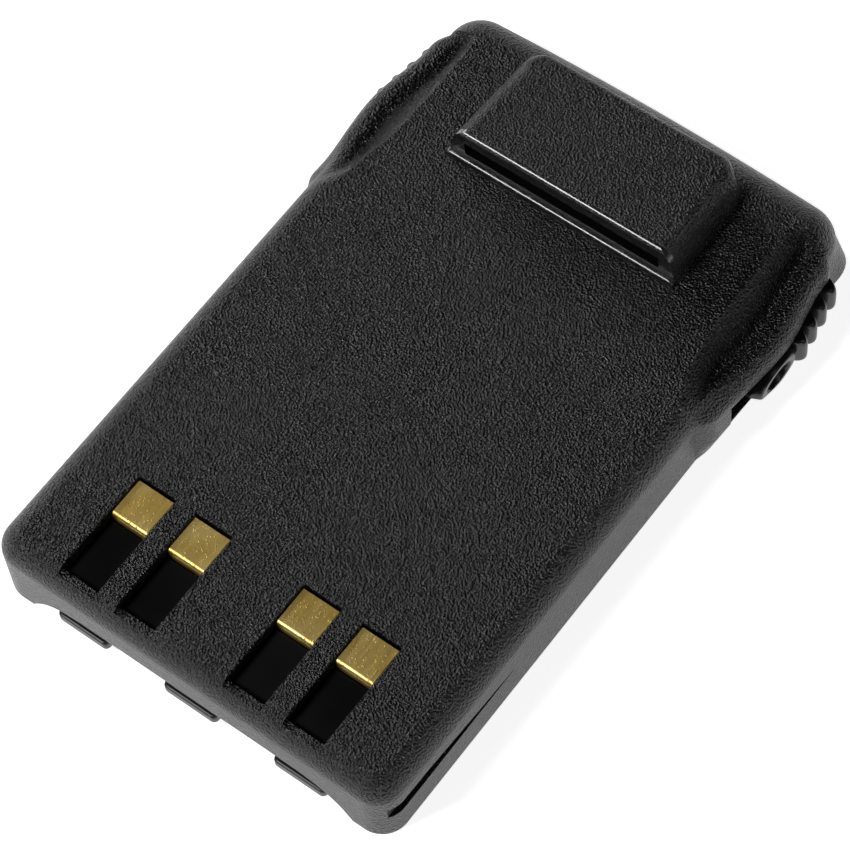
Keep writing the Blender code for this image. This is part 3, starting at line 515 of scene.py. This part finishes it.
def grained_black():
    """Spark-eroded black plastic: grains and pits of 0.3 mm on a soft larger unevenness.

    The inside of the clip slot is left smooth and has its colour darkened as painted shade, and the
    lip before it is polished. Both are found by their place in millimetres.
    """
    f = Finish("textured_black", IOR=1.5, Specular_IOR_Level=0.5, Coat_Roughness=0.2)
    grain = f.noise(3900, 2.0, 0.6)
    pits = f.cells(3600)
    broad = f.noise(160, 2.0)
    x, y, z = (f.axis(letter) * 1000 for letter in "XYZ")
    # mask of the inside of the clip slot: the grain is left off there and shade is painted there
    slot = (y.between(23.97, 24.02) * y.between(38.0, 37.5) * z.between(11.3, 11.4)
            * z.between(13.6, 13.5) * (x * x).between(180, 172))
    lip = y.between(23.0, 23.15) * y.between(24.9, 24.6) * z.between(10.42, 10.5) * (1 - slot)
    worn = f.noise(60, 3.0).between(0.35, 0.75)
    rough = (1 - slot) * (1 - 0.6 * lip)
    height = (grain + pits * 1.2) * rough + broad * 0.5
    colour = f.blend(grain.between(0.35, 0.75), (0.001, 0.001, 0.0011, 1),
                     (0.003, 0.003, 0.003, 1))
    # painted shade: the inside of the clip slot is coloured darker than the grain's tones
    colour = f.blend(slot, colour, (0.001, 0.001, 0.001, 1))
    roughness = 0.20 + 0.14 * grain + 0.06 * worn
    f.feed(f.shader.inputs["Coat Weight"], lip)
    return f.surface(colour, roughness, height, 0.17, 1.0)


hand_over(shell, "housing", "textured_black", grained_black(), "rear_shell")

# ---------------------------------------------------------------- inner cover
# The flat cover of black ABS that closes the radio side. Its end flange fills the cut-away
# between the feet, and three tabs on its edge hook into the radio.


def smooth_black(name, gloss, shade_of):
    """Polished or satin moulded black plastic with faint flow marks and fine scratches."""
    f = Finish(name, IOR=1.5)
    flow = f.noise(90, 3.0)
    scratch = f.noise(900, 2.0, 0.7, f.stretched(1.0, 0.08, 1.0))
    colour = f.blend(flow.between(0.3, 0.7), (shade_of, shade_of, shade_of, 1),
                     (shade_of * 1.7, shade_of * 1.7, shade_of * 1.75, 1))
    return f.surface(colour, gloss + 0.08 * flow + 0.05 * scratch, flow * 0.5 + scratch * 0.15,
                     0.02, 0.4)


outline, normals = shell_outline()
edge_line = outline - normals * (WALL + 0.3)
heights = (0.9, 1.0, 1.95, 2.05)
cover = stack("inner_cover_moulding", layers(
    [edge_line - normals * i for i in (0.1, 0.0, 0.0, 0.1)], heights))
joined = [block("flange", (-20.0, 20.0), (-41.7, -40.5), (1.85, 5.0), 0.3, 0.1)]
for x0, x1 in ((-18.14, -11.24), (-3.58, 3.58), (11.24, 18.14)):
    joined.append(block("hook_tab", (x0, x1), (-43.5, -39.3), (0.9, 2.33), 0.6, 0.3))
carve(cover, joined, "UNION")
openings = [block("label_recess", (-19.0, 19.0), (-22.0, 34.0), (-0.1, 1.15), 1.5, 0.02)]
for x in (-9.0, 0.0, 9.0):
    openings.append(block("contact_window", (x - 2, x + 2), (-38.4, -31.6),
                          (-0.1, 3.05), 0.3, 0.05))
for side in (-1, 1):
    openings.append(block("hook_window", sorted((side * 21.6, side * 26.5)), (20.6, 32.4),
                          (-0.1, 3.05), 0.3, 0.05))
carve(cover, openings)
shade(cover)
satin = smooth_black("satin_black", 0.3, 0.009)
hand_over(cover, "housing", "textured_black", satin, "inner_cover")

# ---------------------------------------------------------------- contact block
# Glossy black insert behind the windows. A floor shows in each window, and a land behind it
# holds up the flat end of the contact.

block_top = HEIGHT - 1.9
base = block("contact_block_moulding", (-20.0, 20.0), (-41.6, -27.6), (5.75, block_top), 0.5, 0.1)
raised = []
slits = []
for left in WINDOWS:
    raised.append(block("floor", (left + 0.22, left + 4.58), (-41.0, -28.45),
                        (block_top - 0.5, HEIGHT - 1.4), 0.2, 0.05))
    raised.append(block("land", (left + 0.3, left + 4.5), (-32.7, -28.55),
                        (block_top - 0.3, HEIGHT - 0.85), 0.2, 0.05))
    slits.append(block("slit", (left - 0.05, left + 4.85), (-33.55, -32.7), (5.45, HEIGHT - 1.2),
                       0.1, 0.02))
carve(base, raised, "UNION")
carve(base, slits)
shade(base)
gloss = smooth_black("gloss_black", 0.07, 0.005)
hand_over(base, "housing", "gloss_black", gloss, "contact_block")

# ---------------------------------------------------------------- charging contacts
# Four strips of phosphor bronze, nickelled and thinly gold plated, bent down over the front of
# their lands. The plating is worn to fine specks where a charger's pins rub.


def gold_plating():
    """Rolled gold plate: specks of wear, rolling lines along the strip, soft cloudiness."""
    f = Finish("gold_plate", Metallic=1.0)
    specks = f.cells(3000).between(0.32, 0.12)
    rub = f.noise(300, 3.0, 0.6)
    lines = f.noise(2500, 1.0, 0.5, f.stretched(1.0, 0.12, 1.0))
    cloud = f.noise(220, 2.0)
    worn = specks * rub.between(0.45, 0.62)
    colour = f.blend(cloud.between(0.3, 0.7), (0.80, 0.55, 0.14, 1), (1.00, 0.76, 0.27, 1))
    colour = f.blend(worn * 0.8, colour, (0.28, 0.16, 0.05, 1))
    return f.surface(colour, 0.38 + 0.15 * lines + 0.2 * worn, lines * 0.4 + specks * 0.8 + rub,
                     0.03, 0.7)


def bent_strip(name, left):
    """Profile from the flat end over a bend of 0.45 mm down to the board, 4.8 mm wide.

    Rings run along the profile; each is a thin rounded rectangle across the strip.
    """
    top, front, bend, thick = HEIGHT - 0.3, -33.25, 0.45, 0.25
    turn = np.radians(np.linspace(90, 180, 9))
    path = np.stack((front + bend + bend * np.cos(turn),
                     top - bend + bend * np.sin(turn)), axis=-1)
    path = np.concatenate((((-28.5, top), (-28.6, top), (-30.0, top)), path, ((front, 5.75),)))
    normal = np.concatenate((np.tile((0.0, 1.0), (3, 1)),
                             np.stack((np.cos(turn), np.sin(turn)), axis=-1), ((-1.0, 0.0),)))
    section = round_box(left, left + CONTACT_WIDTH, -thick, 0.0, 0.07, 3)
    across, depth = section.T
    rings = [np.c_[across, p[0] + n[0] * depth, p[1] + n[1] * depth] for p, n in zip(path, normal)]
    return stack(name, rings)


gold = gold_plating()
for index, left in enumerate(WINDOWS, 1):
    strip = bent_strip(f"charging_strip_{index}", left)
    shade(strip)
    hand_over(strip, "housing", "gold_plate", gold, f"charge_contact_{index}")

# ---------------------------------------------------------------- latches
# Two sliding latches of smooth black acetal in the bays. Each has four grip ribs, a raised
# arrow with a drop-shaped hollow towards its release, and a stem that reaches the hook inside.


LATCH_TIP = 20.2
LATCH_END = 37.2
RIB_START = 27.6
RIB_PITCH = 2.4
RIB_HEIGHT = 1.7


def latch_face(y):
    """Distance of the outer face from the middle plane: it leans in by 0.15 along the ribs."""
    return 27.9 - 0.15 * np.clip(y - 28.7, 0, None)


def latch_plate(side):
    """The plate as a grid over its side view.

    Along y the height above the floor is the face plus four ribs, each a half ellipse 1.7 mm
    proud and 2 mm wide, and a raised drop-shaped rim towards the tip. Across z the surface
    falls off round the edge as a quarter ellipse, and the outline narrows to the tip.
    """
    y = np.unique(np.concatenate((np.linspace(LATCH_TIP, RIB_START, 60),
                                  np.linspace(RIB_START, LATCH_END, 130))))
    s = np.linspace(-1, 1, 41)
    toward = np.clip((y - LATCH_TIP) / 6.6, 0, 1)
    low = 1.15 + 2.0 * (1 - np.sin(np.pi / 2 * toward)) ** 1.2
    high = 5.2 - 1.45 * (1 - np.sin(np.pi / 2 * np.clip((y - LATCH_TIP) / 4.0, 0, 1))) ** 1.2
    grid_y, grid_s = np.meshgrid(y, s, indexing="ij")
    middle = ((low + high) / 2)[:, None]
    half = ((high - low) / 2)[:, None]
    z = middle + half * np.sin(np.pi / 2 * grid_s)
    face = latch_face(grid_y)
    from_rib = (grid_y - 28.7 + RIB_PITCH / 2) % RIB_PITCH - RIB_PITCH / 2
    rib = np.clip(1 - (from_rib / 1.02) ** 2, 0, 1) ** 0.5
    rib = rib * (grid_y > RIB_START) * (grid_y < 37.0)
    rib_top = RIB_HEIGHT * rib * np.clip(1 - np.abs(grid_s) ** 3.5, 0, 1) ** 0.5
    along = (grid_y - 24.2) / 3.9
    up = (z - 3.25) / 2.05
    radius = np.sqrt(along ** 2 + up ** 2)
    rim = 1.05 * ease((1.05 - radius) / 0.22)
    hollow = 1.15 * ease((0.62 - radius) / 0.25)
    panel = (rim - hollow) * (grid_y < 28.2)
    edge = 0.35 * (1 - np.sqrt(np.clip(1 - np.abs(grid_s) ** 6, 0, 1)))
    x = face + np.maximum(rib_top, panel) - edge
    top = np.stack((side * x, grid_y, z), axis=-1)
    floor = np.stack((np.full_like(x, side * 25.7), grid_y, z), axis=-1)
    loop = np.concatenate((top, floor[:, ::-1]), axis=1)
    return stack("latch_plate", loop)


latch_finish = smooth_black("latch_black", 0.22, 0.009)
for side, name in ((-1, "left"), (1, "right")):
    plate = latch_plate(side)
    plate.name = f"latch_{name}_moulding"
    parts = [block("stem", sorted((side * 22.4, side * 26.2)), (24.0, 32.0), (1.4, 5.0), 0.3, 0.15),
             block("hook", sorted((side * 22.4, side * 24.3)), (27.0, 32.0), (0.25, 1.6), 0.3, 0.1)]
    carve(plate, parts, "UNION")
    shade(plate, 45)
    hand_over(plate, f"{name}_latch", "latch_black", latch_finish, f"latch_{name}")

# ---------------------------------------------------------------- latch springs
# A small open coil of spring steel wire between each latch's stem and its seat in the shell.


def drawn_metal(name, colour, stretch, roughness=0.25):
    """Bare metal with drawing or rolling lines along one axis and slight staining."""
    f = Finish(name, Metallic=1.0)
    lines = f.noise(2000, 2.0, 0.6, f.stretched(*stretch))
    stain = f.noise(130, 3.0)
    dark = tuple(c * 0.6 for c in colour)
    tone = f.blend(stain.between(0.3, 0.75), (*colour, 1), (*dark, 1))
    return f.surface(tone, roughness + 0.2 * lines + 0.15 * stain, lines, 0.01, 0.5)


def coil(name, side):
    """A round wire carried along a helix of 0.95 mm radius, seven turns from seat to stem."""
    turns, sides = 7, 10
    t = np.linspace(0, turns, turns * 28 + 1)[:, None]
    a = np.linspace(0, 2 * np.pi, sides, endpoint=False)[None, :]
    start, end, wire = 18.36, 23.54, 0.16
    radial = 0.95 + wire * np.cos(a)
    x = side * 23.4 + radial * np.cos(2 * np.pi * t)
    y = start + (end - start) * t / turns + wire * np.sin(a)
    z = 3.2 + radial * np.sin(2 * np.pi * t)
    return stack(name, np.stack((x, y, z), axis=-1))


steel = drawn_metal("spring_steel", (0.55, 0.55, 0.56), (1, 1, 0.1))
for side, name in ((-1, "left"), (1, "right")):
    spring = coil(f"return_spring_{name}", side)
    shade(spring, 60)
    hand_over(spring, "housing", "spring_steel", steel, f"latch_spring_{name}")
    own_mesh(spring)

# ---------------------------------------------------------------- inside the pack
# Two flat lithium-ion cells taped and padded into the shell, their nickel straps and fuse, and
# the protection board under the contacts. The cover carries a blank label.


def board_laminate():
    """Green solder resist with copper tracks showing through as a fine raised maze."""
    f = Finish("board_green")
    weave = f.noise(1500, 1.0)
    maze = f.add("ShaderNodeTexBrick", None, {"Vector": f.place, "Scale": 260.0,
                                              "Mortar Size": 0.03}, "Fac")
    colour = f.blend(maze, (0.012, 0.10, 0.03, 1), (0.03, 0.20, 0.07, 1))
    return f.surface(colour, 0.3 + 0.15 * weave, maze + 0.3 * weave, 0.03, 0.6)


def plain_finish(name, dark, light, roughness, scale, depth, stretch=(1, 1, 1)):
    """Two close tones mixed by a noise that also gives the surface its relief."""
    f = Finish(name)
    spread = f.noise(scale, 3.0, 0.6, f.stretched(*stretch))
    fine = f.noise(scale * 5, 2.0)
    tone = f.blend(spread.between(0.3, 0.7), (*dark, 1), (*light, 1))
    return f.surface(tone, roughness + 0.15 * fine, spread + 0.5 * fine, depth, 0.6)


inside = {
    "nickel": drawn_metal("nickel", (0.62, 0.60, 0.56), (1, 0.1, 1)),
    "cell_can": drawn_metal("cell_can", (0.68, 0.69, 0.70), (0.1, 1, 1), 0.3),
    "board_green": board_laminate(),
    "chip_black": plain_finish("chip_black", (0.012,) * 3, (0.03,) * 3, 0.45, 900, 0.02),
    "chip_ceramic": plain_finish("chip_ceramic", (0.15, 0.13, 0.11), (0.24, 0.21, 0.18), 0.4, 700,
                                 0.01),
    "insulating_paper": plain_finish("insulating_paper", (0.52, 0.50, 0.40), (0.66, 0.63, 0.53),
                                     0.75, 350, 0.03, (1, 0.3, 1)),
    "label_film": plain_finish("label_film", (0.70, 0.70, 0.68), (0.80, 0.80, 0.78), 0.35, 60,
                               0.02),
    "foam": plain_finish("foam", (0.03,) * 3, (0.10,) * 3, 0.8, 1500, 0.15),
    "adhesive_tape": plain_finish("adhesive_tape", (0.66, 0.66, 0.62), (0.80, 0.80, 0.77), 0.6,
                                  500, 0.02, (1, 0.2, 1)),
    "terminal_seal": plain_finish("terminal_seal", (0.06, 0.08, 0.22), (0.11, 0.13, 0.32), 0.4,
                                  400, 0.01),
    "gold_plate": gold,
}
for subpart in frame["record"]["subparts"]:
    if subpart["material_slot"] in inside:
        node = frame["nodes"][subpart["node"]]
        node.data.materials.clear()
        node.data.materials.append(inside[subpart["material_slot"]])

# ---------------------------------------------------------------- table and light
# The pack lies on a white light table. A soft light stands at the front left and a strip along
# each side; a small sheen light and a narrow rim light give the rounded edges their lines.

floor_mesh = bpy.data.meshes.new("light_table")
floor_mesh.from_pydata([(-3, -3, 0), (3, -3, 0), (3, 3, 0), (-3, 3, 0)], [], [(0, 1, 2, 3)])
floor_object = bpy.data.objects.new("light_table", floor_mesh)
bpy.context.scene.collection.objects.link(floor_object)
white = Finish("white_table", Roughness=0.7, Emission_Strength=0.85,
               Emission_Color=(1.0, 1.0, 1.0, 1))
floor_mesh.materials.append(white.surface(white.blend(
    white.noise(3, 2.0), (0.86, 0.86, 0.86, 1), (0.90, 0.90, 0.90, 1))))

world = bpy.data.worlds.new("studio_air")
bpy.context.scene.world = world
world.use_nodes = True
air = world.node_tree.nodes["Background"]
air.inputs["Color"].default_value = (1.0, 1.0, 1.0, 1)
air.inputs["Strength"].default_value = 0.01


def soft_light(name, place, target, width, length, power):
    """A rectangular softbox that faces a point."""
    lamp = bpy.data.lights.new(name, "AREA")
    lamp.shape = "RECTANGLE"
    lamp.size = width
    lamp.size_y = length
    lamp.energy = power
    holder = bpy.data.objects.new(name, lamp)
    bpy.context.scene.collection.objects.link(holder)
    holder.location = place
    holder.rotation_euler = (Vector(target) - Vector(place)).to_track_quat("-Z", "Y").to_euler()


soft_light("front_left", (-0.28, -0.48, 0.58), (0, 0, 0), 0.2, 0.2, 4.0)
soft_light("strip_left", (-0.75, 0.25, 0.25), (0, 0, 0), 0.7, 0.12, 2.6)
soft_light("sheen", (-0.48, 0.16, 0.61), (0, 0, 0), 0.12, 0.12, 0.12)
soft_light("rim_right", (0.40, 0.22, 0.62), (0, 0, 0), 0.06, 0.3, 0.15)
soft_light("strip_right", (0.7, -0.35, 0.25), (0, 0, 0), 0.2, 0.5, 0.8)

camera_data = bpy.data.cameras.new("camera")
camera_data.lens = 152.25
camera_data.sensor_width = 36.0
camera_data.clip_start = 0.01
camera = bpy.data.objects.new("camera", camera_data)
bpy.context.scene.collection.objects.link(camera)
forward = Vector((-0.3346, 0.3562, -0.8725)).normalized()
upward = Vector((-0.5015, 0.7165, 0.4849))
upward = (upward - forward * upward.dot(forward)).normalized()
turned = Matrix((forward.cross(upward), upward, -forward)).transposed().to_4x4()
camera.matrix_world = Matrix.Translation((0.13205, -0.14252, 0.34545)) @ turned
bpy.context.scene.camera = camera
bpy.context.scene.view_settings.view_transform = "Standard"
